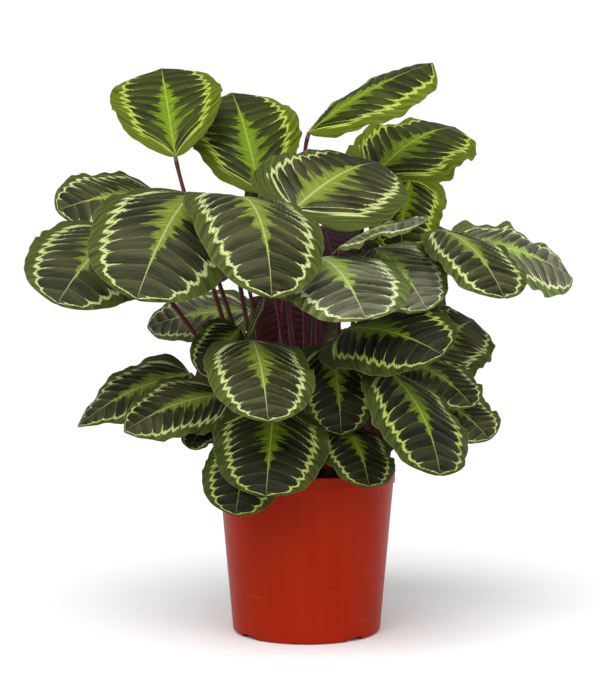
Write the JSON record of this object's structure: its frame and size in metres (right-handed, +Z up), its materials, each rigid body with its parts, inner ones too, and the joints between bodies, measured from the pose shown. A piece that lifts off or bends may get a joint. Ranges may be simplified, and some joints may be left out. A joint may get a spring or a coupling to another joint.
{
  "type": "potted calathea",
  "caption": "House plant with broad patterned oval leaves on long red stalks, rising in clumps from the soil of a tapered round nursery pot with a rolled rim and a notched foot.",
  "frame": {"origin": "middle of the pot's foot, on the surface that the pot stands on", "axes": "+Z up, +X to the right seen from the front, -Y towards the front, where most of the leaves face"},
  "size_m": [0.5836, 0.4213, 0.6245],
  "materials": {
    "pot": "satin moulded orange-red plastic",
    "soil": "damp dark peat, light and crumbly",
    "petiole": "smooth maroon stalk with a soft sheen",
    "blade": "satin leaf, dark green with a pale ring and a bright feather, wine red underneath"
  },
  "bodies": {
    "root": {"pot": "pot", "soil": "soil", "shoot_1": "petiole", "shoot_2": "petiole", "shoot_3": "petiole", "shoot_4": "petiole", "shoot_5": "petiole", "shoot_6": "petiole", "shoot_7": "petiole", "shoot_8": "petiole", "leaf_01": "blade", "leaf_02": "blade", "leaf_03": "blade", "leaf_04": "blade", "leaf_05": "blade", "leaf_06": "blade", "leaf_07": "blade", "leaf_08": "blade", "leaf_09": "blade", "leaf_10": "blade", "leaf_11": "blade", "leaf_12": "blade", "leaf_13": "blade", "leaf_14": "blade", "leaf_15": "blade", "leaf_16": "blade", "leaf_17": "blade", "leaf_18": "blade", "leaf_19": "blade", "leaf_20": "blade", "leaf_21": "blade", "leaf_22": "blade", "leaf_23": "blade", "leaf_24": "blade", "leaf_25": "blade", "leaf_26": "blade", "leaf_27": "blade", "leaf_28": "blade", "leaf_29": "blade", "leaf_30": "blade", "leaf_31": "blade", "leaf_32": "blade", "leaf_33": "blade", "leaf_34": "blade", "leaf_35": "blade", "leaf_36": "blade", "leaf_37": "blade", "leaf_38": "blade", "leaf_39": "blade", "leaf_40": "blade", "leaf_41": "blade", "leaf_42": "blade", "leaf_43": "blade"}
  },
  "joints": []
}
